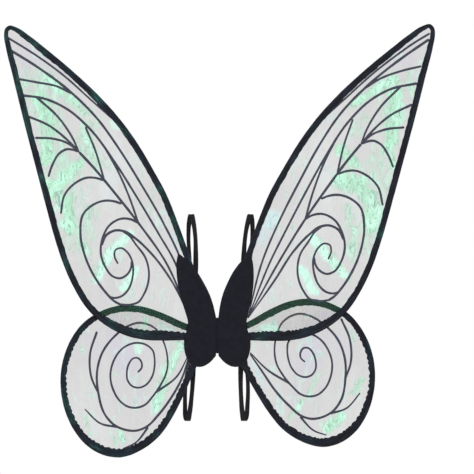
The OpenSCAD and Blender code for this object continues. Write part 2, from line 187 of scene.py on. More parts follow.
# Inked veins of the right wings, as measured [x, z] points, each with its first and last width.
UPPER_VEINS = [
    (2.0, 1.6, [(285, 407), (262, 393), (245, 381), (211, 355), (171, 319), (132, 284)]),
    (2.4, 1.7, [(284, 399), (245, 372), (205, 340), (165, 299), (138, 259), (111, 210),
                (84, 157), (61, 103), (41, 25)]),
    (2.0, 2.0, [(274, 363), (245, 356), (218, 346), (199, 334)]),
    (2.3, 1.7, [(268, 340), (232, 332), (205, 317), (178, 291), (144, 240), (118, 193),
                (91, 141), (72, 103), (41, 25)]),
    (2.2, 1.8, [(246, 336), (218, 307), (199, 275), (193, 259)]),
    (2.2, 2.0, [(262, 312), (232, 297), (205, 273), (193, 259)]),
    (2.2, 2.0, [(251, 281), (225, 278), (207, 271), (193, 259)]),
    (2.2, 2.0, [(193, 259), (201, 262), (209, 263), (218, 259), (229, 244), (236, 227)]),
    (2.5, 1.7, [(193, 259), (174, 236), (148, 201), (118, 158), (84, 103), (41, 25)]),
    (1.8, 1.9, [(182, 292), (171, 261), (161, 220)]),
    (2.1, 2.0, [(161, 218), (172, 222), (184, 223), (201, 216), (215, 202), (222, 176)]),
    (2.1, 2.2, [(139, 185), (149, 189), (162, 190.5), (177.5, 186), (191, 175), (197, 148),
                (193, 119), (181, 88), (167, 66), (157, 54.5), (148, 48.5)]),
    (1.8, 1.9, [(159, 265), (143, 233), (128, 193), (118, 158)]),
    (2.1, 2.0, [(118, 158), (127, 163), (140, 165), (157, 157), (167, 141), (171, 121),
                (165.5, 100), (157, 88), (147, 84.5), (136.5, 89.7), (131.2, 98.2),
                (129.9, 107)]),
    (1.7, 2.4, [(41, 25), (77, 76), (104, 117), (124, 138), (136, 147), (150, 149.5),
                (162, 144), (170, 130)]),
    (1.7, 2.0, [(148.5, 104), (152.7, 115), (151, 123), (143.3, 125.3), (134.8, 118.7),
                (130.3, 110), (130.5, 83), (136.5, 69), (146.8, 60), (157, 58.5), (164, 61)]),
    (1.8, 2.0, [(140, 148), (131, 141), (123, 129), (111, 110), (107.5, 91), (110, 74),
                (116, 61), (124, 51), (136, 48), (150, 49.5)]),
]
LOWER_VEINS = [
    (1.7, 2.2, [(118, -34), (112, -28), (112, -20), (116, -15), (122, -15), (128, -21),
                (132, -32), (132, -43), (127, -51), (119, -54), (110, -52), (100, -42),
                (95, -28), (94, -17), (95, -8), (103, 1), (116, 5), (130, 2), (140, -5),
                (148, -16), (154, -34), (152, -54), (144, -70), (134, -78), (123, -80),
                (112, -77), (102, -68), (90, -54), (79, -34), (77, -13), (79, -1), (88, 20),
                (99, 28), (111, 31), (122, 29), (144, 16), (162, -4), (171, -28), (172, -55),
                (165, -87), (157, -98), (140, -108), (127, -110), (115, -107), (95, -91),
                (77, -71), (60, -46), (44, -23)]),
    (1.8, 2.2, [(44, -21), (67, -44), (98, -63)]),
    (2.0, 2.0, [(166, 25), (178, -4), (179, -35), (171, -58)]),
    (2.2, 1.2, [(151, -103), (173, -96), (192, -75)]),
    (2.2, 1.2, [(111, -107), (130, -126), (147, -132)]),
]


# ---- curves and meshes ----


def smooth_line(points, step, places=2):
    """Evenly spaced points on the smooth curve through every given point.

    The first `places` numbers of a point are its place; the rest ride along."""
    points = np.asarray(points, float)
    gaps = np.linalg.norm(np.diff(points[:, :places], axis=0), axis=1)[:, None]
    secants = np.diff(points, axis=0) / gaps
    slopes = np.vstack([secants[:1], secants])
    slopes[1:-1] = (secants[:-1] * gaps[1:] + secants[1:] * gaps[:-1]) / (gaps[1:] + gaps[:-1])
    fine = []
    for i, gap in enumerate(gaps):
        t = np.linspace(0, 1, 17)[:-1, None]
        fine.append(
            (2 * t**3 - 3 * t**2 + 1) * points[i]
            + (t**3 - 2 * t**2 + t) * gap * slopes[i]
            + (3 * t**2 - 2 * t**3) * points[i + 1]
            + (t**3 - t**2) * gap * slopes[i + 1]
        )
    fine = np.vstack(fine + [points[-1:]])
    along = arc_lengths(fine[:, :places])
    count = max(2, round(along[-1] / step) + 1)
    wanted = np.linspace(0, along[-1], count)
    return np.stack([np.interp(wanted, along, column) for column in fine.T], axis=1)


def arc_lengths(line):
    return np.concatenate([[0], np.cumsum(np.linalg.norm(np.diff(line, axis=0), axis=1))])


def directions(line, closed=False):
    if closed:
        steps = np.roll(line, -1, axis=0) - np.roll(line, 1, axis=0)
    else:
        steps = np.gradient(line, axis=0)
    return steps / np.linalg.norm(steps, axis=1)[:, None]


def inward(line, closed=False):
    """Unit vectors to the left of travel, which is into an outline that runs anticlockwise."""
    t = directions(line, closed)
    return np.stack([-t[:, 1], t[:, 0]], axis=1)


def smoothstep(low, high, value):
    t = np.clip((value - low) / (high - low), 0, 1)
    return t * t * (3 - 2 * t)


def distance_to(line, points):
    """Distance of each point to an open line, and the index of the line's nearest point."""
    best = np.full(len(points), 1e9)
    nearest = np.zeros(len(points), int)
    for start in range(0, len(points), 2000):
        chunk = points[start:start + 2000]
        gaps = np.linalg.norm(chunk[:, None] - line[None], axis=2)
        nearest[start:start + 2000] = gaps.argmin(axis=1)
        a = line[:-1]
        b = line[1:]
        ab = b - a
        t = ((chunk[:, None] - a[None]) * ab[None]).sum(axis=2) / (ab**2).sum(axis=1)[None]
        t = np.clip(t, 0, 1)[..., None]
        feet = np.linalg.norm(chunk[:, None] - (a[None] + t * ab[None]), axis=2)
        best[start:start + 2000] = feet.min(axis=1)
    return best, nearest


def inside(outline, points):
    """Whether each point is inside a closed outline."""
    a = outline
    b = np.roll(outline, -1, axis=0)
    found = np.zeros(len(points), bool)
    for (ax, az), (bx, bz) in zip(a, b):
        if az == bz:
            continue
        crosses = (az > points[:, 1]) != (bz > points[:, 1])
        at = ax + (points[:, 1] - az) * (bx - ax) / (bz - az)
        found ^= crosses & (points[:, 0] < at)
    return found


def ripple(along, wavelength, seed):
    """Smooth random wave along a length, about -1 to 1."""
    return np.array([2 * noise.noise((s / wavelength, seed, 0.37 * seed)) for s in along])


def field(points, size_x, size_z, seed):
    """Smooth random height over a plane, about -1 to 1."""
    return np.array([2 * noise.noise((x / size_x, z / size_z, seed)) for x, z in points])


def front_outline(node):
    """Anticlockwise [x, z] outline of a CAD node's faces that look along -Y."""
    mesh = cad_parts[node].data
    after = {}
    for face in mesh.polygons:
        if face.normal.y > -0.98:
            continue
        corners = [mesh.vertices[v].co for v in face.vertices]
        keys = [(round(c.x / MM, 2), round(c.z / MM, 2)) for c in corners]
        for a, b in zip(keys, keys[1:] + keys[:1]):
            if (b, a) in after:
                del after[(b, a)]
            else:
                after[(a, b)] = b
    follow = {a: b for a, b in after}
    start = next(iter(follow))
    loop = [start]
    while follow[loop[-1]] != start:
        loop.append(follow[loop[-1]])
    return np.array(loop)


def tube_faces(rings, sides, closed=False):
    """Quads between rings of points, with end caps unless the tube closes on itself."""
    i = np.arange(rings if closed else rings - 1)[:, None]
    k = np.arange(sides)[None]
    j = (i + 1) % rings
    k_next = (k + 1) % sides
    corners = [i * sides + k, i * sides + k_next, j * sides + k_next, j * sides + k]
    quads = np.stack(np.broadcast_arrays(*corners), axis=-1).reshape(-1, 4).tolist()
    if closed:
        return quads
    last = (rings - 1) * sides
    return quads + [list(range(sides)), list(range(last, last + sides))]


def joined(parts):
    """One list of points and faces from several."""
    points = []
    faces = []
    count = 0
    for part_points, part_faces in parts:
        points.append(part_points)
        faces.extend([[v + count for v in face] for face in part_faces])
        count += len(part_points)
    return np.vstack(points), faces


def make_piece(name, points, faces, material, uv=None, marks=None):
    """A mesh object from points in millimetres. uv gives each point's place along and across,
    and marks are named numbers for each point that the material reads."""
    mesh = bpy.data.meshes.new(name)
    mesh.from_pydata((np.asarray(points) * MM).tolist(), [], faces)
    work = bmesh.new()
    work.from_mesh(mesh)
    bmesh.ops.recalc_face_normals(work, faces=work.faces)
    work.to_mesh(mesh)
    work.free()
    mesh.shade_smooth()
    if uv is not None:
        layer = mesh.uv_layers.new(name="Cloth")
        for loop in mesh.loops:
            layer.data[loop.index].uv = uv[loop.vertex_index] * MM
    for mark, values in (marks or {}).items():
        layer = mesh.attributes.new(mark, "FLOAT", "POINT")
        layer.data.foreach_set("value", np.asarray(values, np.float32))
    mesh.materials.append(material)
    piece = bpy.data.objects.new(name, mesh)
    bpy.context.scene.collection.objects.link(piece)
    return piece


def triangulated(outline, inner):
    """Triangles inside an outline through extra points. The outline's points come first."""
    points = np.vstack([outline, inner])
    count = len(outline)
    edges = [(i, (i + 1) % count) for i in range(count)]
    vectors = [Vector(p) for p in points]
    made, _, faces, *_ = delaunay_2d_cdt(vectors, edges, [], 1, 1e-5)
    return np.array([tuple(v) for v in made]), [list(f) for f in faces]


# Rows of a staggered grid lie this share of a step apart.
HEX_ROWS = 0.866


def hex_grid(outline, step):
    """Staggered grid of points inside an outline."""
    low = outline.min(axis=0)
    high = outline.max(axis=0)
    rows = np.arange(low[1], high[1], step * HEX_ROWS)
    columns = np.arange(low[0], high[0], step)
    grid = np.array([
        (x + (0.5 * step if k % 2 else 0), z) for k, z in enumerate(rows) for x in columns
    ])
    return grid[inside(outline, grid)]


def shell(outline, flat, faces, front_y, back_y, rim_push):
    """Closed shell of two skins over the same flat points, with a rounded rim."""
    count = len(outline)
    total = len(flat)
    front = np.column_stack([flat[:, 0], front_y, flat[:, 1]])
    back = np.column_stack([flat[:, 0], back_y, flat[:, 1]])
    out = -rim_push * inward(outline, closed=True)
    middle_y = (front_y[:count] + back_y[:count]) / 2
    middle = np.column_stack([outline[:, 0] + out[:, 0], middle_y, outline[:, 1] + out[:, 1]])
    points = np.vstack([front, back, middle])
    rim = []
    for i in range(count):
        j = (i + 1) % count
        rim.append([i, j, 2 * total + j, 2 * total + i])
        rim.append([2 * total + i, 2 * total + j, total + j, total + i])
    turned = [[v + total for v in reversed(face)] for face in faces]
    return points, [list(f) for f in faces] + turned + rim


def thread_stitch(start, end, radius, lift):
    """One stitch: a thin round thread that dives into the cloth at both ends. lift is outwards."""
    start = np.asarray(start, float)
    end = np.asarray(end, float)
    lift = np.asarray(lift, float)
    way = (end - start) / np.linalg.norm(end - start)
    side = np.cross(way, lift)
    rings = []
    for t, height, size in ((0, -0.5, 0.45), (0.12, 0.35, 0.9), (0.5, 0.6, 1), (0.88, 0.35, 0.9),
                            (1, -0.5, 0.45)):
        centre = start + t * (end - start) + lift * radius * height
        angles = np.arange(6) * math.pi / 3
        rings.append(centre + radius * size * (
            np.cos(angles)[:, None] * side + np.sin(angles)[:, None] * lift
        ))
    return np.vstack(rings), tube_faces(5, 6)


# ---- materials ----


def linear(hex_colour):
    """An sRGB hex colour as linear RGBA."""
    values = [int(hex_colour[i:i + 2], 16) / 255 for i in (1, 3, 5)]
    return tuple(v / 12.92 if v <= 0.04045 else ((v + 0.055) / 1.055) ** 2.4 for v in values) + (1,)


def add_node(tree, kind, values=None, links=None, ramp=None, **settings):
    """A node with its settings, socket values, links from other nodes' outputs and colour stops."""
    node = tree.nodes.new(kind)
    for key, value in settings.items():
        setattr(node, key, value)
    for key, value in (values or {}).items():
        node.inputs[key].default_value = value
    for key, source in (links or {}).items():
        tree.links.new(source, node.inputs[key])
    if ramp:
        stops = node.color_ramp.elements
        while len(stops) < len(ramp):
            stops.new(0.5)
        for stop, (place, colour) in zip(stops, ramp):
            stop.position = place
            stop.color = linear(colour) if isinstance(colour, str) else (colour,) * 3 + (1,)
    return node


def new_material(name):
    material = bpy.data.materials.new(name)
    material.use_nodes = True
    tree = material.node_tree
    tree.nodes.clear()
    shader = add_node(tree, "ShaderNodeBsdfPrincipled")
    add_node(tree, "ShaderNodeOutputMaterial", links={"Surface": shader.outputs[0]})
    return material, tree, shader


def coated_film():
    """Iridescent cellophane: clear polyester film with a vacuum-coated pearl layer.

    It reads as a grey veil over white with touches of lilac, and small glints on its creases.
    Painted reflections of the pearl layer turn it green over dark tape and give crackled mint
    and pale mint strokes and touches of sky blue, with painted shade along their fold lines."""
    material, tree, shader = new_material("coated_polyester_film")
    shader.inputs["IOR"].default_value = 1.5
    shader.inputs["Specular IOR Level"].default_value = 0.5
    place = add_node(tree, "ShaderNodeTexCoord").outputs["Object"]
    axes = add_node(tree, "ShaderNodeSeparateXYZ", links={0: place})
    outwards = add_node(tree, "ShaderNodeMath", operation="ABSOLUTE", links={0: axes.outputs[0]})
    both = add_node(
        tree, "ShaderNodeCombineXYZ",
        links={0: outwards.outputs[0], 2: axes.outputs[2]},
    ).outputs[0]
    slanted = add_node(
        tree, "ShaderNodeMapping",
        values={"Rotation": (0, math.radians(-14), 0), "Scale": (1.0, 1.0, 0.42)},
        links={0: both},
    ).outputs[0]
    # Crackle of the painted reflections, and of the bump and gloss: ragged streaks about
    # 7 mm by 17 mm.
    streaks = add_node(
        tree, "ShaderNodeTexNoise",
        values={"Scale": 70.0, "Detail": 4.0, "Roughness": 0.55, "Distortion": 1.3},
        links={0: slanted},
    )
    # Fold lines of the film: thin threads that wander, a few millimetres apart. They shape the
    # bump, and are painted darker as shade along the folds.
    folds = add_node(
        tree, "ShaderNodeTexNoise",
        values={"Scale": 62.0, "Detail": 2.5, "Roughness": 0.6, "Distortion": 2.4},
        links={0: slanted},
    )
    centred = add_node(
        tree, "ShaderNodeMath", operation="SUBTRACT", values={1: 0.5},
        links={0: folds.outputs[0]},
    )
    off_line = add_node(
        tree, "ShaderNodeMath", operation="ABSOLUTE", links={0: centred.outputs[0]},
    )
    fold_shade = add_node(
        tree, "ShaderNodeValToRGB", links={0: off_line.outputs[0]},
        ramp=[(0.008, 1.0), (0.03, 0.0)],
    )
    tints = add_node(
        tree, "ShaderNodeTexNoise",
        values={"Scale": 13.0, "Detail": 4.0, "Roughness": 0.6}, links={0: slanted},
    )
    tint = add_node(
        tree, "ShaderNodeValToRGB", links={0: tints.outputs[0]},
        ramp=[(0.34, "#4f6f72"), (0.44, "#57504f"), (0.58, "#5b5157"), (0.70, "#5b5286")],
    ).outputs[0]
    # Mint of the painted reflections, deep to light across the crackle.
    shade = add_node(
        tree, "ShaderNodeValToRGB", links={0: streaks.outputs[0]},
        ramp=[(0.36, "#22b87a"), (0.50, "#3acb8c"), (0.66, "#7ce8bd")],
    ).outputs[0]
    rough_edge = add_node(
        tree, "ShaderNodeMath", operation="MULTIPLY_ADD", values={1: 1.7, 2: -0.85},
        links={0: streaks.outputs[0]},
    )
    veil = add_node(
        tree, "ShaderNodeMapRange", values={1: 0.35, 2: 0.65, 3: 0.155, 4: 0.215},
        links={0: tints.outputs[0]},
    )
    cover = veil.outputs[0]
    shown = {}
    # Painted reflections: green over dark tape behind the film, and the pearl layer's sky-blue, mint
    # and pale mint strokes.
    for mark, colour, opacity in (
        ("green", linear("#23513a"), 0.18),
        ("blue", linear("#52aabb"), 0.22),
        ("mint", shade, 0.30),
        ("pale", linear("#5de7bd"), 0.20),
    ):
        amount = add_node(tree, "ShaderNodeAttribute", attribute_name=mark)
        broken = add_node(
            tree, "ShaderNodeMath", operation="ADD",
            links={0: amount.outputs["Fac"], 1: rough_edge.outputs[0]},
        )
        mask = add_node(
            tree, "ShaderNodeValToRGB", links={0: broken.outputs[0]},
            ramp=[(0.12, 0.0), (1.0, 1.0)],
        )
        shown[mark] = mask.outputs[0]
        tint_links = {0: mask.outputs[0], 6: tint}
        tint_values = {}
        if mark == "mint":
            tint_links[7] = colour
        else:
            tint_values[7] = colour
        tint = add_node(
            tree, "ShaderNodeMix", data_type="RGBA", values=tint_values, links=tint_links,
        ).outputs[2]
        cover = add_node(
            tree, "ShaderNodeMix", data_type="FLOAT", values={3: opacity},
            links={0: mask.outputs[0], 2: cover},
        ).outputs[0]
    # Painted fold shade shows most in the reflection strokes and faintly elsewhere.
    coated = None
    for mark, share in (("mint", 0.85), ("pale", 0.35), ("blue", 0.45)):
        so_far = {2: coated} if coated else {}
        coated = add_node(
            tree, "ShaderNodeMath", operation="MULTIPLY_ADD", values={1: share, 2: 0.10},
            links={0: shown[mark], **so_far},
        ).outputs[0]
    lines = add_node(
        tree, "ShaderNodeMath", operation="MULTIPLY", use_clamp=True,
        links={0: fold_shade.outputs[0], 1: coated},
    ).outputs[0]
    # Painted shade along the folds: a darker green that covers more.
    tint = add_node(
        tree, "ShaderNodeMix", data_type="RGBA", values={7: linear("#15845e")},
        links={0: lines, 6: tint},
    ).outputs[2]
    cover = add_node(
        tree, "ShaderNodeMix", data_type="FLOAT", values={3: 0.42}, links={0: lines, 2: cover},
    ).outputs[0]
    # Behind another film, this film's veil and painted reflections show half as strongly.
    bare = add_node(tree, "ShaderNodeAttribute", attribute_name="bare")
    kept = add_node(
        tree, "ShaderNodeMath", operation="MULTIPLY_ADD", values={1: -0.5, 2: 1.0},
        links={0: bare.outputs["Fac"]},
    )
    cover = add_node(
        tree, "ShaderNodeMath", operation="MULTIPLY", links={0: cover, 1: kept.outputs[0]},
    ).outputs[0]
    tree.links.new(tint, shader.inputs["Base Color"])
    tree.links.new(cover, shader.inputs["Alpha"])
    crease = add_node(
        tree, "ShaderNodeMath", operation="ADD",
        links={0: folds.outputs[0], 1: streaks.outputs[0]},
    )
    bump = add_node(
        tree, "ShaderNodeBump", values={"Strength": 0.5, "Distance": 0.0006},
        links={"Height": crease.outputs[0]},
    )
    tree.links.new(bump.outputs[0], shader.inputs["Normal"])
    gloss = add_node(
        tree, "ShaderNodeMapRange", values={1: 0.3, 2: 0.7, 3: 0.10, 4: 0.26},
        links={0: streaks.outputs[0]},
    )
    tree.links.new(gloss.outputs[0], shader.inputs["Roughness"])
    return material


def vein_ink():
    """Screen-printed enamel ink: a slate line that stands up a little, with a soft shine."""
    material, tree, shader = new_material("printed_enamel_ink")
    shader.inputs["Specular IOR Level"].default_value = 0.25
    place = add_node(tree, "ShaderNodeTexCoord").outputs["Object"]
    thick = add_node(
        tree, "ShaderNodeTexNoise",
        values={"Scale": 320.0, "Detail": 3.0, "Roughness": 0.6}, links={0: place},
    )
    shade = add_node(
        tree, "ShaderNodeValToRGB", links={0: thick.outputs[0]},
        ramp=[(0.3, "#2a2c39"), (0.7, "#383a48")],
    )
    tree.links.new(shade.outputs[0], shader.inputs["Base Color"])
    gloss = add_node(
        tree, "ShaderNodeMapRange", values={1: 0.3, 2: 0.7, 3: 0.34, 4: 0.52},
        links={0: thick.outputs[0]},
    )
    tree.links.new(gloss.outputs[0], shader.inputs["Roughness"])
    # Ink pulled through a mesh leaves a grain of about 1.5 mm.
    bump = add_node(
        tree, "ShaderNodeBump", values={"Strength": 0.25, "Distance": 0.0002},
        links={"Height": thick.outputs[0]},
    )
    tree.links.new(bump.outputs[0], shader.inputs["Normal"])
    return material


def satin_tape():
    """Satin-woven polyester bias tape: near-black with a blue-green sheen that shifts along it."""
    material, tree, shader = new_material("satin_woven_polyester_tape")
    shader.inputs["Specular IOR Level"].default_value = 0.13
    shader.inputs["Sheen Weight"].default_value = 0.015
    shader.inputs["Sheen Roughness"].default_value = 0.4
    shader.inputs["Sheen Tint"].default_value = linear("#6f9c9a")
    cloth = add_node(tree, "ShaderNodeUVMap", uv_map="Cloth").outputs[0]
    place = add_node(tree, "ShaderNodeTexCoord").outputs["Object"]
    # Real threads are 0.2 mm apart; drawn 1.5 mm apart so that the twill line shows.
    twill = add_node(
        tree, "ShaderNodeTexWave", bands_direction="DIAGONAL",
        values={"Scale": 290.0, "Distortion": 0.5, "Detail": 1.0, "Detail Scale": 2.0},
        links={0: cloth},
    )
    drift = add_node(
        tree, "ShaderNodeTexNoise",
        values={"Scale": 26.0, "Detail": 4.0, "Roughness": 0.6}, links={0: place},
    )
    # Painted reflection of the film: navy on one side, shifting to petrol on the other.
    axes = add_node(tree, "ShaderNodeSeparateXYZ", links={0: place})
    film_reflection_side = add_node(
        tree, "ShaderNodeMapRange", values={1: -0.05, 2: 0.05, 3: 0.07, 4: -0.04},
        links={0: axes.outputs[0]},
    )
    sheen_and_reflection = add_node(
        tree, "ShaderNodeMath", operation="ADD",
        links={0: drift.outputs[0], 1: film_reflection_side.outputs[0]},
    )
    # Painted sheen and reflection: near-black turning petrol and blue-green.
    shade = add_node(
        tree, "ShaderNodeValToRGB", links={0: sheen_and_reflection.outputs[0]},
        ramp=[(0.38, "#0b0c13"), (0.52, "#0d111a"), (0.62, "#0d191f"), (0.74, "#14302c")],
    )
    threads = add_node(
        tree, "ShaderNodeMapRange", values={1: 0.0, 2: 1.0, 3: 0.78, 4: 1.22},
        links={0: twill.outputs[1]},
    )
    # Painted highlights: brighter streaks about 12 mm long lie along the tape.
    stretched = add_node(
        tree, "ShaderNodeMapping", values={"Scale": (0.07, 1.0, 1.0)}, links={0: cloth},
    )
    highlight_noise = add_node(
        tree, "ShaderNodeTexNoise",
        values={"Scale": 620.0, "Detail": 2.0, "Roughness": 0.5},
        links={0: stretched.outputs[0]},
    )
    streaks = add_node(
        tree, "ShaderNodeMapRange", values={1: 0.47, 2: 0.72, 3: 0.85, 4: 3.4},
        links={0: highlight_noise.outputs[0]},
    )
    # Twill together with the painted highlight streaks.
    weave = add_node(
        tree, "ShaderNodeMath", operation="MULTIPLY",
        links={0: threads.outputs[0], 1: streaks.outputs[0]},
    )
    woven = add_node(
        tree, "ShaderNodeMix", data_type="RGBA", blend_type="MULTIPLY", values={0: 1.0},
        links={6: shade.outputs[0], 7: weave.outputs[0]},
    )
    tree.links.new(woven.outputs[2], shader.inputs["Base Color"])
    gloss = add_node(
        tree, "ShaderNodeMapRange", values={1: 0.3, 2: 0.7, 3: 0.52, 4: 0.36},
        links={0: drift.outputs[0]},
    )
    tree.links.new(gloss.outputs[0], shader.inputs["Roughness"])
    bump = add_node(
        tree, "ShaderNodeBump", values={"Strength": 0.5, "Distance": 0.00012},
        links={"Height": twill.outputs[1]},
    )
    tree.links.new(bump.outputs[0], shader.inputs["Normal"])
    return material


def needled_felt():
    """Needle-punched polyester felt: matt charcoal with a blue cast and short lying fibres."""
    material, tree, shader = new_material("needle_punched_felt")
    shader.inputs["Specular IOR Level"].default_value = 0.08
    shader.inputs["Sheen Weight"].default_value = 0.07
    shader.inputs["Sheen Roughness"].default_value = 0.6
    shader.inputs["Sheen Tint"].default_value = linear("#9a98ac")
    place = add_node(tree, "ShaderNodeTexCoord").outputs["Object"]
    # Fibres are 0.02 mm thick; drawn as 0.8 mm tufts, longer up and down than across.
    lying = add_node(
        tree, "ShaderNodeMapping", values={"Scale": (1.0, 1.0, 0.4)}, links={0: place},
    ).outputs[0]
    fibres = add_node(
        tree, "ShaderNodeTexNoise",
        values={"Scale": 1300.0, "Detail": 4.0, "Roughness": 0.7, "Distortion": 0.6},
        links={0: lying},
    )
    cloud = add_node(
        tree, "ShaderNodeTexNoise",
        values={"Scale": 95.0, "Detail": 3.0, "Roughness": 0.6}, links={0: place},
    )
    shade = add_node(
        tree, "ShaderNodeValToRGB", links={0: fibres.outputs[0]},
        ramp=[(0.3, "#101016"), (0.55, "#17171e"), (0.75, "#23232c")],
    )
    matting = add_node(
        tree, "ShaderNodeMapRange", values={1: 0.3, 2: 0.7, 3: 0.85, 4: 1.2},
        links={0: cloud.outputs[0]},
    )
    mottled = add_node(
        tree, "ShaderNodeMix", data_type="RGBA", blend_type="MULTIPLY", values={0: 1.0},
        links={6: shade.outputs[0], 7: matting.outputs[0]},
    )
    tree.links.new(mottled.outputs[2], shader.inputs["Base Color"])
    rough = add_node(
        tree, "ShaderNodeMapRange", values={1: 0.3, 2: 0.7, 3: 0.82, 4: 0.97},
        links={0: fibres.outputs[0]},
    )
    tree.links.new(rough.outputs[0], shader.inputs["Roughness"])
    height = add_node(
        tree, "ShaderNodeMath", operation="ADD",
        links={0: fibres.outputs[0], 1: cloud.outputs[0]},
    )
    bump = add_node(
        tree, "ShaderNodeBump", values={"Strength": 0.7, "Distance": 0.0004},
        links={"Height": height.outputs[0]},
    )
    tree.links.new(bump.outputs[0], shader.inputs["Normal"])
    return material


def woven_elastic():
    """Woven elastic tape: black, matt, with ribs along it and fine rows across."""
    material, tree, shader = new_material("woven_elastic_tape")
    shader.inputs["Specular IOR Level"].default_value = 0.15
    shader.inputs["Sheen Weight"].default_value = 0.05
    cloth = add_node(tree, "ShaderNodeUVMap", uv_map="Cloth").outputs[0]
    axes = add_node(tree, "ShaderNodeSeparateXYZ", links={0: cloth})
    # Six ribs across 7 mm of tape, and weft rows drawn 1.3 mm apart instead of 0.6 mm.
    rib_phase = add_node(
        tree, "ShaderNodeMath", operation="MULTIPLY", values={1: 2 * math.pi * 860},
        links={0: axes.outputs[1]},
    )
    ribs = add_node(tree, "ShaderNodeMath", operation="SINE", links={0: rib_phase.outputs[0]})
    row_phase = add_node(
        tree, "ShaderNodeMath", operation="MULTIPLY", values={1: 2 * math.pi * 770},
        links={0: axes.outputs[0]},
    )
    rows = add_node(tree, "ShaderNodeMath", operation="SINE", links={0: row_phase.outputs[0]})
    weave = add_node(
        tree, "ShaderNodeMath", operation="MULTIPLY_ADD", values={1: 0.6},
        links={0: rows.outputs[0], 2: ribs.outputs[0]},
    )
    shade = add_node(
        tree, "ShaderNodeMapRange", values={1: -1.6, 2: 1.6, 3: 0.0, 4: 1.0},
        links={0: weave.outputs[0]},
    )
    colour = add_node(
        tree, "ShaderNodeValToRGB", links={0: shade.outputs[0]},
        ramp=[(0.15, "#0c0b0f"), (0.6, "#17151a"), (1.0, "#25222a")],
    )
    tree.links.new(colour.outputs[0], shader.inputs["Base Color"])
    rough = add_node(
        tree, "ShaderNodeMapRange", values={1: 0.0, 2: 1.0, 3: 0.85, 4: 0.62},
        links={0: shade.outputs[0]},
    )
    tree.links.new(rough.outputs[0], shader.inputs["Roughness"])
    bump = add_node(
        tree, "ShaderNodeBump", values={"Strength": 0.6, "Distance": 0.00018},
        links={"Height": weave.outputs[0]},
    )
    tree.links.new(bump.outputs[0], shader.inputs["Normal"])
    return material


def spun_thread():
    """Spun polyester sewing thread: black with a low twisted gleam."""
    material, tree, shader = new_material("spun_polyester_thread")
    shader.inputs["Specular IOR Level"].default_value = 0.3
    place = add_node(tree, "ShaderNodeTexCoord").outputs["Object"]
    # The ply turns once in 1 to 2 mm, by the way the thread runs.
    twist = add_node(
        tree, "ShaderNodeTexWave", bands_direction="DIAGONAL",
        values={"Scale": 330.0, "Distortion": 1.0}, links={0: place},
    )
    colour = add_node(
        tree, "ShaderNodeValToRGB", links={0: twist.outputs[1]},
        ramp=[(0.2, "#0e0f14"), (0.9, "#262832")],
    )
    tree.links.new(colour.outputs[0], shader.inputs["Base Color"])
    rough = add_node(
        tree, "ShaderNodeMapRange", values={1: 0.0, 2: 1.0, 3: 0.68, 4: 0.46},
        links={0: twist.outputs[1]},
    )
    tree.links.new(rough.outputs[0], shader.inputs["Roughness"])
    bump = add_node(
        tree, "ShaderNodeBump", values={"Strength": 0.4, "Distance": 0.0001},
        links={"Height": twist.outputs[1]},
    )
    tree.links.new(bump.outputs[0], shader.inputs["Normal"])
    return material


def drawn_steel():
    """Cold-drawn spring steel wire: grey metal, faintly uneven in shade and shine."""
    material, tree, shader = new_material("drawn_steel_wire")
    shader.inputs["Metallic"].default_value = 1.0
    place = add_node(tree, "ShaderNodeTexCoord").outputs["Object"]
    lines = add_node(
        tree, "ShaderNodeTexNoise",
        values={"Scale": 900.0, "Detail": 3.0, "Roughness": 0.6}, links={0: place},
    )
    colour = add_node(
        tree, "ShaderNodeValToRGB", links={0: lines.outputs[0]},
        ramp=[(0.3, "#8d8f92"), (0.7, "#b4b6b8")],
    )
    tree.links.new(colour.outputs[0], shader.inputs["Base Color"])
    rough = add_node(
        tree, "ShaderNodeMapRange", values={1: 0.3, 2: 0.7, 3: 0.26, 4: 0.40},
        links={0: lines.outputs[0]},
    )
    tree.links.new(rough.outputs[0], shader.inputs["Roughness"])
    return material


def crimped_aluminium():
    """Aluminium tube pressed with a crimping tool: paler than the wire, softly dented."""
    material, tree, shader = new_material("crimped_aluminium")
    shader.inputs["Metallic"].default_value = 1.0
    place = add_node(tree, "ShaderNodeTexCoord").outputs["Object"]
    dents = add_node(
        tree, "ShaderNodeTexNoise",
        values={"Scale": 420.0, "Detail": 2.0, "Roughness": 0.5}, links={0: place},
    )
    colour = add_node(
        tree, "ShaderNodeValToRGB", links={0: dents.outputs[0]},
        ramp=[(0.3, "#a9aaad"), (0.7, "#cfd0d2")],
    )
    tree.links.new(colour.outputs[0], shader.inputs["Base Color"])
    rough = add_node(
        tree, "ShaderNodeMapRange", values={1: 0.3, 2: 0.7, 3: 0.34, 4: 0.5},
        links={0: dents.outputs[0]},
    )
    tree.links.new(rough.outputs[0], shader.inputs["Roughness"])
    bump = add_node(
        tree, "ShaderNodeBump", values={"Strength": 0.5, "Distance": 0.0002},
        links={"Height": dents.outputs[0]},
    )
    tree.links.new(bump.outputs[0], shader.inputs["Normal"])
    return material


def eva_foam():
    """Closed-cell EVA foam, black: dull, with an even grain of small cells."""
    material, tree, shader = new_material("closed_cell_eva_foam")
    shader.inputs["Specular IOR Level"].default_value = 0.12
    place = add_node(tree, "ShaderNodeTexCoord").outputs["Object"]
    # Cells of about 0.7 mm.
    cells = add_node(
        tree, "ShaderNodeTexVoronoi", values={"Scale": 1400.0}, links={0: place},
    )
    colour = add_node(
        tree, "ShaderNodeValToRGB", links={0: cells.outputs[0]},
        ramp=[(0.0, "#24242a"), (0.8, "#15151a")],
    )
    tree.links.new(colour.outputs[0], shader.inputs["Base Color"])
    rough = add_node(
        tree, "ShaderNodeMapRange", values={1: 0.0, 2: 1.0, 3: 0.8, 4: 0.95},
        links={0: cells.outputs[0]},
    )
    tree.links.new(rough.outputs[0], shader.inputs["Roughness"])
    bump = add_node(
        tree, "ShaderNodeBump", values={"Strength": 0.4, "Distance": 0.0002},
        links={"Height": cells.outputs[0]},
    )
    tree.links.new(bump.outputs[0], shader.inputs["Normal"])
    return material


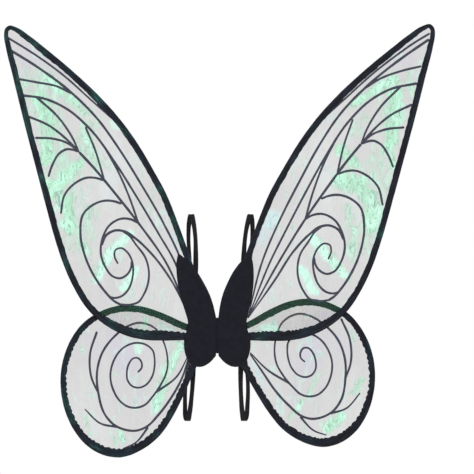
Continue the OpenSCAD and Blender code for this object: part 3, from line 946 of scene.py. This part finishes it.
def matt_board():
    """Matt off-white painted board for the floor: faint roller texture."""
    material, tree, shader = new_material("matt_painted_board")
    place = add_node(tree, "ShaderNodeTexCoord").outputs["Object"]
    roller = add_node(
        tree, "ShaderNodeTexNoise",
        values={"Scale": 160.0, "Detail": 2.0, "Roughness": 0.5}, links={0: place},
    )
    colour = add_node(
        tree, "ShaderNodeValToRGB", links={0: roller.outputs[0]},
        ramp=[(0.3, "#e0e0e1"), (0.7, "#e3e3e3")],
    )
    tree.links.new(colour.outputs[0], shader.inputs["Base Color"])
    shader.inputs["Roughness"].default_value = 0.9
    return material


FILM = coated_film()
INK = vein_ink()
TAPE = satin_tape()
FELT = needled_felt()
ELASTIC = woven_elastic()
THREAD = spun_thread()


# ---- wings ----


class Wing:
    """One hoop: its outer edge, its plane, and how its drawing is placed."""

    def __init__(self, side, level):
        self.side = side
        self.level = level
        self.name = f"{side}_{level}"
        self.body = f"{side}_side" if level == "upper" else f"{side}_lower_wing"
        self.sign = SIDES[side]
        self.turn, self.size = SHAPING[side, level]
        self.drawn_root = UPPER_ROOT if level == "upper" else LOWER_ROOT
        self.root = self.drawn_root * [self.sign, 1]
        low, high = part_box(f"{self.name}_film")
        self.y = (low.y + high.y) / 2 / MM
        self.seed = 3.1 * self.sign + (0 if level == "upper" else 11)
        self.edge = self.outer_edge()
        self.along = arc_lengths(self.edge)
        self.inwards = inward(self.edge)
        self.outline = np.vstack([self.edge, self.root[None]])

    def outer_edge(self):
        """The hoop's outer edge from one leg round to the other, without the cut at the post."""
        loop = front_outline(f"{self.name}_film")
        at_post = np.linalg.norm(loop - self.root, axis=1) < FILM_STOPS_R + 0.15
        leaves = [i for i in range(len(loop)) if at_post[i] and not at_post[(i + 1) % len(loop)]]
        loop = np.roll(loop, -leaves[0], axis=0)
        at_post = np.roll(at_post, -leaves[0])
        back = next(i for i in range(1, len(loop)) if at_post[i])
        line = smooth_line(loop[:back + 1], 1.7)
        return line - FILM_INSET * inward(line)

    def tape_widths(self):
        """Width of the tape at each point of the edge, from the CAD tape's hem."""
        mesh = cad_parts[f"{self.name}_binding"].data
        points = np.array([v.co[:] for v in mesh.vertices]) / MM
        hem = points[np.abs(points[:, 1] - self.y) < 0.65][:, [0, 2]]
        gaps, nearest = distance_to(self.edge, hem)
        wide = gaps > 4.5
        order = np.argsort(nearest[wide])
        widths = np.interp(
            np.arange(len(self.edge)), nearest[wide][order], gaps[wide][order]
        )
        padded = np.pad(widths, 6, mode="edge")
        return np.convolve(padded, np.ones(13) / 13, mode="valid")

    def placed(self, points):
        """Drawn right-hand points on this wing."""
        angle = math.radians(self.turn)
        v = (np.asarray(points, float) - self.drawn_root) * self.size
        x = self.drawn_root[0] + v[:, 0] * math.cos(angle) + v[:, 1] * math.sin(angle)
        z = self.drawn_root[1] - v[:, 0] * math.sin(angle) + v[:, 1] * math.cos(angle)
        return np.stack([x * self.sign, z], axis=1)

    def printed(self, points):
        """Drawn right-hand points where this film's print has them."""
        clean = self.placed(points)
        turn, inwards, up = PRINT_SLIP.get((self.side, self.level), (0.0, 0.0, 0.0))
        angle = math.radians(turn)
        v = (clean - self.root) * [self.sign, 1]
        reach = smoothstep(5, 62, np.linalg.norm(v, axis=1))[:, None]
        if self.level == "upper":
            spokes = self.edge - self.root
            tip = spokes[np.argmax(np.linalg.norm(spokes, axis=1))]
            ahead = (tip[0] * spokes[:, 1] - tip[1] * spokes[:, 0]) * self.sign > 0
            reach = reach * smoothstep(3, 31, distance_to(self.edge[ahead], clean)[0])[:, None]
        x = self.drawn_root[0] + v[:, 0] * math.cos(angle) + v[:, 1] * math.sin(angle) + inwards
        z = self.drawn_root[1] - v[:, 0] * math.sin(angle) + v[:, 1] * math.cos(angle) + up
        slipped = np.stack([x * self.sign, z], axis=1)
        return clean + reach * (slipped - clean)

    def reflection_marks(self, points, under, over):
        """How much of each painted reflection colour shows at each point, and where another film
        lies in front. under is the line of the dark tape that lies behind this film, and over the
        outline of a film in front of it."""
        ragged = 0.32 * field(points, 8, 13, self.seed + 21) + 0.2 * field(points, 3.5, 5, 33)
        marks = {kind: np.zeros(len(points)) for kind in ("mint", "pale", "blue", "green")}
        for kind, strength, width, stroke in REFLECTION_STROKES[self.side, self.level]:
            line = np.array(stroke, float)
            if len(line) > 2:
                line = smooth_line(line, 4)
            gaps, _ = distance_to(line * [self.sign, 1], points)
            shown = strength * (1 - smoothstep(0.1, 1.0, gaps / width + 0.5 * ragged))
            marks[kind] = np.maximum(marks[kind], shown)
        # Painted reflection: over the dark lower tape the film is painted green, in place of its
        # other strokes.
        if under is not None:
            gaps, _ = distance_to(under, points)
            marks["green"] = 2.2 * (1 - smoothstep(5, 9, gaps))
            for kind in ("mint", "pale", "blue"):
                marks[kind] -= marks["green"]
        marks["bare"] = np.zeros(len(points))
        if over is not None:
            marks["bare"] = inside(over, points).astype(float)
        return marks

    def film_y(self, points):
        """Depth of the creased film at [x, z] points: flat at the tape, at most 1.1 mm off inside."""
        gaps, _ = distance_to(self.edge, points)
        post = np.linalg.norm(points - self.root, axis=1) - FILM_STOPS_R
        fade = smoothstep(4, 22, gaps) * smoothstep(2, 30, post)
        broad = 0.75 * field(points, 62, 80, self.seed)
        ridges = 0.55 * (0.5 - np.abs(field(points, 24, 44, self.seed + 5)))
        ridges += 0.35 * (0.5 - np.abs(field(points, 13, 19, self.seed + 7)))
        small = 0.12 * field(points, 6, 9, self.seed + 9)
        return self.y + fade * np.clip(broad + ridges + small, -1.1, 1.1)


def bound_edge(wing):
    """Fabric tape folded round the wire, its two plies closing on the film, with a running stitch."""
    along = wing.along
    # The hem is gathered round the lower wings and along the level leg of the upper ones.
    if wing.level == "upper":
        gathered = 1 - smoothstep(-4, 30, wing.edge[:, 1])
    else:
        gathered = 1 - 0.75 * smoothstep(0, 25, wing.edge[:, 1])
    pucker = 0.06 + 0.2 * gathered
    phase = along / 8.2 + 0.5 * ripple(along, 18, wing.seed + 6)
    scallop = np.abs(np.sin(math.pi * phase)) - 0.55
    fuller = 2.6 if wing.level == "upper" else 0.8
    width = wing.tape_widths() + fuller * gathered + (0.1 + 1.4 * gathered) * scallop
    width += 0.3 * ripple(along, 5.5, wing.seed + 1) + 0.3 * ripple(along, 19, wing.seed + 2)
    round_r = BINDING_HALF + 0.07 * ripple(along, 9, wing.seed + 3)
    span = width - FLAP_FROM
    rows = {1: [], -1: []}
    for face in (-1, 1):
        lift = pucker * (1.4 * scallop + ripple(along, 4.6, wing.seed + 4 + face))
        for share, height in (
            (1.0, 0.52), (0.96, 0.62), (0.86, 0.66), (0.74, 0.55), (0.6, 0.66), (0.36, 0.70),
            (0.14, 0.78), (0.0, 0.98),
        ):
            rows[face].append((
                FLAP_FROM + span * share,
                face * (height + np.maximum(lift, -0.12) * share),
            ))
        rows[face].append((2.55, face * 1.27))
    nose = []
    for degrees in range(-80, 81, 20):
        a = math.radians(degrees)
        nose.append((
            BINDING_HALF - round_r * math.cos(a), round_r * math.sin(a),
        ))
    outer = rows[-1] + nose + rows[1][::-1]
    # The same folded line, one ply further in, closes the cloth.
    inner = []
    for face in (1, -1):
        steps = []
        for u, v in rows[face]:
            steps.append((u, face * np.maximum(np.abs(v) - CLOTH_PLY, 0.13)))
        if face == 1:
            inner += steps
            inner += [
                (BINDING_HALF - (round_r - CLOTH_PLY) * math.cos(math.radians(d)),
                 (round_r - CLOTH_PLY) * math.sin(math.radians(d)))
                for d in range(80, -81, -20)
            ]
        else:
            inner += steps[::-1]
    section = outer + inner
    sides = len(section)
    u = np.stack([np.broadcast_to(p[0], along.shape) for p in section], axis=1)
    v = np.stack([np.broadcast_to(p[1], along.shape) for p in section], axis=1)
    x = wing.edge[:, 0, None] + u * wing.inwards[:, 0, None]
    z = wing.edge[:, 1, None] + u * wing.inwards[:, 1, None]
    points = np.stack([x, wing.y + v, z], axis=-1).reshape(-1, 3)
    half = len(outer)
    across = np.zeros(u.shape)
    steps = np.hypot(np.diff(u[:, :half], axis=1), np.diff(v[:, :half], axis=1))
    across[:, 1:half] = np.cumsum(steps, axis=1)
    across[:, half:] = across[:, :half][:, ::-1]
    uv = np.stack([np.broadcast_to(along[:, None], u.shape), across], axis=-1).reshape(-1, 2)
    tape = make_piece(f"{wing.name}_bound_tape", points, tube_faces(len(along), sides), TAPE, uv)
    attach(tape, wing.body)
    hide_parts(f"{wing.name}_binding")
    stitches = []
    for s in np.arange(6, along[-1] - 6, STITCH_PITCH):
        for face in (-1, 1):
            ends = []
            for where in (s - STITCH_HALF, s + STITCH_HALF):
                place = np.array([np.interp(where, along, wing.edge[:, k]) for k in (0, 1)])
                normal = np.array([np.interp(where, along, wing.inwards[:, k]) for k in (0, 1)])
                depth = np.interp(where, along, FLAP_FROM + span * STITCH_AT)
                spot = place + depth * normal
                lift = np.interp(where, along, np.abs(rows[face][3][1]))
                ends.append((spot[0], wing.y + face * (lift + 0.08), spot[1]))
            stitches.append(thread_stitch(ends[0], ends[1], 0.24, (0, face, 0)))
    seam = make_piece(f"{wing.name}_running_stitch", *joined(stitches), THREAD)
    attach(seam, wing.body)


def film_panel(wing, under=None, over=None):
    """Clear panel of the hoop, creased, with its rim held inside the tape."""
    line = wing.edge + (FILM_INSET + FILM_UNDER_TAPE) * wing.inwards
    ends = [line[-1] - wing.root, line[0] - wing.root]
    start, stop = (math.atan2(e[1], e[0]) for e in ends)
    sweep = (stop - start + math.pi) % (2 * math.pi) - math.pi
    steps = max(4, round(abs(sweep) * FILM_STOPS_R / 1.8))
    arc = np.array([
        wing.root + (FILM_STOPS_R + FILM_OFF_POST) * np.array([math.cos(q), math.sin(q)])
        for q in start + sweep * np.arange(1, steps) / steps
    ])
    outline = np.vstack([line, arc])
    grid = hex_grid(outline, 2.6)
    loop = np.vstack([outline, outline[:1]])
    grid = grid[distance_to(loop, grid)[0] > 1.5]
    flat, faces = triangulated(outline, grid)
    y = wing.film_y(flat)
    points, faces = shell(outline, flat, faces, y - FILM_HALF_T, y + FILM_HALF_T, 0.02)
    marks = wing.reflection_marks(flat, under, over)
    rim = len(outline)
    marks = {mark: np.concatenate([v, v, v[:rim]]) for mark, v in marks.items()}
    film = make_piece(f"{wing.name}_panel", points, faces, FILM, marks=marks)
    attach(film, wing.body)
    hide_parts(f"{wing.name}_film")


def vein_ribbons(wing):
    """Raised ink lines that follow the creases of the film, each a thin lens in section."""
    section = [(-0.5, 0), (-0.36, -0.17), (0, -0.26), (0.36, -0.17), (0.5, 0), (0.36, 0.17),
               (0, 0.26), (-0.36, 0.17)]
    parts = []
    drawn = UPPER_VEINS if wing.level == "upper" else LOWER_VEINS
    for number, (first, last, route) in enumerate(drawn):
        line = smooth_line(wing.printed(route), 1.5)
        gaps, _ = distance_to(wing.edge, line)
        kept = inside(wing.outline, line) & (gaps > 2.9)
        kept &= np.linalg.norm(line - wing.root, axis=1) > FILM_STOPS_R + 0.5
        line = line[kept]
        along = arc_lengths(line)
        share = along / along[-1]
        out = np.linalg.norm(line - wing.root, axis=1)
        width = PRINT_WIDENING[0] + (PRINT_WIDENING[1] - PRINT_WIDENING[0]) * smoothstep(5, 90, out)
        width = width * (first + (last - first) * share)
        width = width * (1 + 0.07 * ripple(along, 12, wing.seed + number))
        end = np.minimum(along, along[-1] - along)
        width = width * (0.35 + 0.65 * smoothstep(-0.2, 1.6, end))
        y = wing.film_y(line)
        across = inward(line)
        rings = []
        for u, v in section:
            place = line + (u * width)[:, None] * across
            rings.append(np.column_stack([place[:, 0], y + v * (0.8 + 0.2 * width), place[:, 1]]))
        points = np.stack(rings, axis=1).reshape(-1, 3)
        parts.append((points, tube_faces(len(line), len(section))))
    veins = make_piece(f"{wing.name}_veins", *joined(parts), INK)
    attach(veins, wing.body)


# ---- centre pads ----


def leaf_outline(node, step):
    """Outline of a CAD leaf, smooth between its corners."""
    loop = front_outline(node)
    way = np.roll(loop, -1, axis=0) - loop
    angles = np.degrees(np.arctan2(way[:, 1], way[:, 0]))
    turns = (angles - np.roll(angles, 1) + 180) % 360 - 180
    corners = [i for i, turn in enumerate(turns) if abs(turn) > 38]
    loop = np.roll(loop, -corners[0], axis=0)
    corners = [c - corners[0] for c in corners] + [len(loop)]
    loop = np.vstack([loop, loop[:1]])
    runs = [smooth_line(loop[a:b + 1], step)[:-1] for a, b in zip(corners, corners[1:])]
    return np.vstack(runs)


def over_upper_wing(points, wing):
    """1 where the upper wing crosses the leaf, 0 clear of it."""
    gaps, _ = distance_to(wing.edge, points)
    signed = np.where(inside(wing.outline, points), gaps, -gaps)
    return smoothstep(-5, -1, signed)


def over_lower_sweep(points, sign):
    """1 where the lower wing can pass at any of its angles, 0 clear of it."""
    up = math.radians(LEG_UP_LIMIT)
    down = math.radians(LEG_DOWN_LIMIT)
    v = points * [sign, 1] - LOWER_ROOT
    above = -v[:, 0] * math.sin(up) + v[:, 1] * math.cos(up)
    below = v[:, 0] * math.sin(down) - v[:, 1] * math.cos(down)
    return 1 - smoothstep(ROOT_R + 1, ROOT_R + 5, np.maximum(above, below))


def leaf_pad(side, face, upper_wing):
    """Felt leaf with a stuffed look: crowned in the middle, turned in at the rim to close the pad."""
    sign = SIDES[side]
    outline = leaf_outline(f"{side}_{face}_cover", 1.3)
    if face == "back":
        outline[:, 0] = sign * np.maximum(np.abs(outline[:, 0]), BACK_LEAF_FROM_X)
    loop = np.vstack([outline, outline[:1]])
    rows = []
    for depth in (0.35, 0.9, 1.7, 2.8, 4.2):
        row = outline + depth * inward(outline, closed=True)
        rows.append(row[distance_to(loop, row)[0] > depth * 0.93])
    grid = hex_grid(outline, 2.0)
    rows.append(grid[distance_to(loop, grid)[0] > 5.4])
    flat, faces = triangulated(outline, np.vstack(rows))
    depth, _ = distance_to(loop, flat)
    depth[:len(outline)] = 0
    out = np.abs(flat[:, 0])
    # The roll of the rim is narrow beside the seam and wide elsewhere.
    by_seam = 1 - smoothstep(3, 10, out)
    roll = 6.0 - 3.4 * by_seam
    rounded = np.sqrt(np.clip(1 - (1 - np.minimum(depth / roll, 1)) ** 2, 0, 1))
    crown = 1 - (1 - np.minimum(depth / 15, 1)) ** 2
    sag = 0.14 * field(flat, 13, 17, 5 + 3 * sign) + 0.08 * field(flat, 5, 6, 9)
    clear = RIM_CLEAR_Y[face]
    over = RIM_OVER_WING_Y[face]
    if face == "front":
        top = LEAF_Y[face] - np.minimum(1.1 * crown, 0.05 * out) - sag * crown
        rim = clear + (over - clear) * over_upper_wing(flat, upper_wing) - RIM_TUCK
    else:
        top = LEAF_Y[face] + 0.45 * crown + sag * crown
        rim = clear + (over - clear) * over_lower_sweep(flat, sign) + RIM_TUCK
    rim = rim * (1 - by_seam) + RIM_BY_SEAM_Y[face] * by_seam
    outer = rim + (top - rim) * rounded
    if face == "front":
        inner = outer + LEAF_PLY[face] + 0.35 * rounded
        points, faces = shell(outline, flat, faces, outer, inner, 0.22)
    else:
        inner = outer - LEAF_PLY[face] - 0.35 * rounded
        points, faces = shell(outline, flat, faces, inner, outer, 0.22)
    pad = make_piece(f"{side}_{face}_leaf", points, faces, FELT)
    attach(pad, f"{side}_side")
    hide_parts(f"{side}_{face}_cover")


def centre_join():
    """Seam allowance between the leaves: turned-in plies, rounded at both edges, with a short
    flange behind the front leaves that closes the view between them."""
    low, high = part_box("centre_seam")
    half = high.x / MM
    front = low.y / MM + 0.5
    back = high.y / MM - 0.15
    flange_x = 3.4
    flange_y = (-8.75, -8.0)
    right = []
    for degrees in range(0, 91, 15):
        a = math.radians(degrees)
        right.append((half * math.sin(a), front + half * (1 - math.cos(a))))
    right += [(half, flange_y[0] - 0.25), (half + 0.25, flange_y[0])]
    right += [(flange_x - 0.3, flange_y[0]), (flange_x, sum(flange_y) / 2)]
    right += [(flange_x - 0.3, flange_y[1]), (half + 0.25, flange_y[1])]
    right += [(half, flange_y[1] + 0.25)]
    for degrees in range(0, 91, 15):
        a = math.radians(degrees)
        right.append((half * math.cos(a), back - half * (1 - math.sin(a))))
    section = right + [(-x, y) for x, y in reversed(right) if x > 1e-6]
    heights = np.linspace(low.z / MM, high.z / MM, 60)
    ends = np.minimum(heights - heights[0], heights[-1] - heights)
    fill = 1 - 0.4 * np.exp(-ends / 1.3)
    rings = []
    for z, size, wave in zip(heights, fill, ripple(heights, 7, 2)):
        for x, y in section:
            narrowed = x * size if abs(x) <= half else x * (2 * size - 1)
            rings.append((narrowed * (0.97 + 0.03 * wave), y, z))
    points = np.array(rings)
    join = make_piece("centre_join", points, tube_faces(len(heights), len(section)), FELT)
    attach(join, "spine")
    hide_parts("centre_seam")


# ---- arm loops ----


def arm_elastic(side):
    """Elastic tape: sewn flat down the back of the leaf, then free round the arm."""
    sign = SIDES[side]
    slant = math.tan(STRAP_SLANT[side])
    x = STRAP_ROUTE[0][0]
    low, high = STRAP_SEWN_Z
    sewn = [(x, 3.3, low - 7.2, 0), (x, 1.75, low - 2.6, 0), (x, STRAP_SEWN_Y, low + 3, 0)]
    sewn += [(x, STRAP_SEWN_Y, z, 0) for z in range(-12, 80, 12)]
    sewn += [(x, STRAP_SEWN_Y, high - 3, 0), (x, 1.75, high + 2.6, 0), (x, 3.3, high + 7.2, 0)]
    route = [list(p) for p in STRAP_ROUTE] + [list(p) for p in sewn] + [list(STRAP_ROUTE[0])]
    line = smooth_line(route, 2.0, places=3)[:-1]
    line[:, 0] += slant * (line[:, 2] - low)
    twist = np.radians(line[:, 3])
    centre = line[:, :3]
    way = directions(centre, closed=True)
    flat = np.array([1, 0, 0]) - way[:, :1] * way
    flat = flat / np.linalg.norm(flat, axis=1)[:, None]
    up = np.cross(way, flat)
    across = np.cos(twist)[:, None] * flat + np.sin(twist)[:, None] * up
    thick = np.cross(way, across)
    half_w = STRAP_WIDTH / 2
    half_t = STRAP_THICKNESS / 2
    # Six raised ribs on each face, and round selvedges.
    section = []
    for k in range(25):
        u = -1 + 2 * k / 24
        edge = math.sqrt(max(0.0, 1 - max(0, abs(u) - 0.86) ** 2 / 0.14**2))
        rib = 0.90 + 0.10 * math.cos(6 * math.pi * (u + 1))
        section.append((u * half_w, half_t * edge * rib))
    section = section + [(u, -v) for u, v in reversed(section[1:-1])]
    rings = [
        centre + u * across + v * thick for u, v in section
    ]
    points = np.stack(rings, axis=1).reshape(-1, 3) * [sign, 1, 1]
    lengths = np.concatenate([[0], np.cumsum(np.linalg.norm(np.diff(centre, axis=0), axis=1))])
    sides = len(section)
    uv = np.stack([
        np.repeat(lengths, sides), np.tile([u for u, _ in section], len(centre)),
    ], axis=1)
    tape = make_piece(
        f"{side}_arm_elastic", points, tube_faces(len(centre), sides, closed=True), ELASTIC, uv
    )
    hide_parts(f"{side}_strap_base", f"{side}_strap_loop")
    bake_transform(tape)


def bar_tacks(side):
    """Zigzag bar tacks that hold the elastic at both ends of its sewn stretch."""
    sign = SIDES[side]
    slant = math.tan(STRAP_SLANT[side])
    face_y = STRAP_SEWN_Y + STRAP_THICKNESS / 2
    low, high = STRAP_SEWN_Z
    stitches = []
    for z_from in (low + 2, high - 8):
        for k in range(10):
            z = z_from + 0.6 * k
            x = STRAP_ROUTE[0][0] + slant * (z - low)
            lean = 0.3 if k % 2 else -0.3
            a = ((x - 2.7) * sign, face_y, z - lean)
            b = ((x + 2.7) * sign, face_y, z + lean)
            stitches.append(thread_stitch(a, b, 0.2, (0, 1, 0)))
    tacks = make_piece(f"{side}_bar_tacks", *joined(stitches), THREAD)
    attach(tacks, f"{side}_side")
    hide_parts(f"{side}_strap_tacks")


# ---- camera, stage and light ----

CENTRE_X = 26.5 * MM
CENTRE_Z = 134 * MM
FRAME_WIDTH = 635.2 * MM

camera_data = bpy.data.cameras.new("camera")
camera_data.sensor_width = 36
camera_data.lens = 180
camera = bpy.data.objects.new("camera", camera_data)
bpy.context.scene.collection.objects.link(camera)
reach = FRAME_WIDTH * camera_data.lens / camera_data.sensor_width
camera.location = (CENTRE_X, -reach - 8 * MM, CENTRE_Z)
camera.rotation_euler = (math.radians(90), 0, 0)
camera_data.clip_end = 50
bpy.context.scene.camera = camera

FLOOR_R = 0.85
FLOOR_Z = -0.26
FLOOR_SIDES = 96
angles = np.linspace(0, 2 * math.pi, FLOOR_SIDES + 1)[:-1]
rim = [(FLOOR_R * math.cos(a), FLOOR_R * math.sin(a), FLOOR_Z) for a in angles]
floor_mesh = bpy.data.meshes.new("floor")
floor_mesh.from_pydata(rim, [], [list(range(FLOOR_SIDES))])
floor_mesh.materials.append(matt_board())
floor = bpy.data.objects.new("floor", floor_mesh)
bpy.context.scene.collection.objects.link(floor)

for name, place, size, power in (
    ("key_softbox", (-1.1, -1.7, 1.5), 1.1, 24),
    ("fill_softbox", (1.5, -1.5, 0.5), 1.5, 9),
    ("back_softbox", (0.3, 1.9, 1.3), 1.3, 16),
):
    light_data = bpy.data.lights.new(name, "AREA")
    light_data.size = size
    light_data.energy = power
    light = bpy.data.objects.new(name, light_data)
    light.location = place
    light.rotation_euler = (Vector((0, 0, 0.1)) - Vector(place)).to_track_quat("-Z", "Y").to_euler()
    bpy.context.scene.collection.objects.link(light)

world = bpy.data.worlds.new("studio")
world.use_nodes = True
world.node_tree.nodes["Background"].inputs[0].default_value = (1, 1, 1, 1)
world.node_tree.nodes["Background"].inputs[1].default_value = 1.0
bpy.context.scene.world = world
bpy.context.scene.view_settings.view_transform = "Standard"

# ---- assembly ----

for side in SIDES:
    upper = Wing(side, "upper")
    lower = Wing(side, "lower")
    # Line of the lower tape behind the upper film, where the upper film's green reflection is
    # painted.
    lower_tape = lower.edge + 4.2 * lower.inwards
    film_panel(upper, under=lower_tape[lower_tape[:, 1] > -8])
    film_panel(lower, over=upper.outline)
    for wing in (upper, lower):
        bound_edge(wing)
        vein_ribbons(wing)
    leaf_pad(side, "front", upper)
    leaf_pad(side, "back", upper)
    arm_elastic(side)
    bar_tacks(side)
centre_join()

HARDWARE = {
    "wire": drawn_steel(), "ferrule": crimped_aluminium(), "pad": eva_foam(), "stitches": THREAD,
}
for name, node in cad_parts.items():
    kind = name.rsplit("_", 1)[1]
    if kind in HARDWARE:
        node.data.materials.clear()
        node.data.materials.append(HARDWARE[kind])
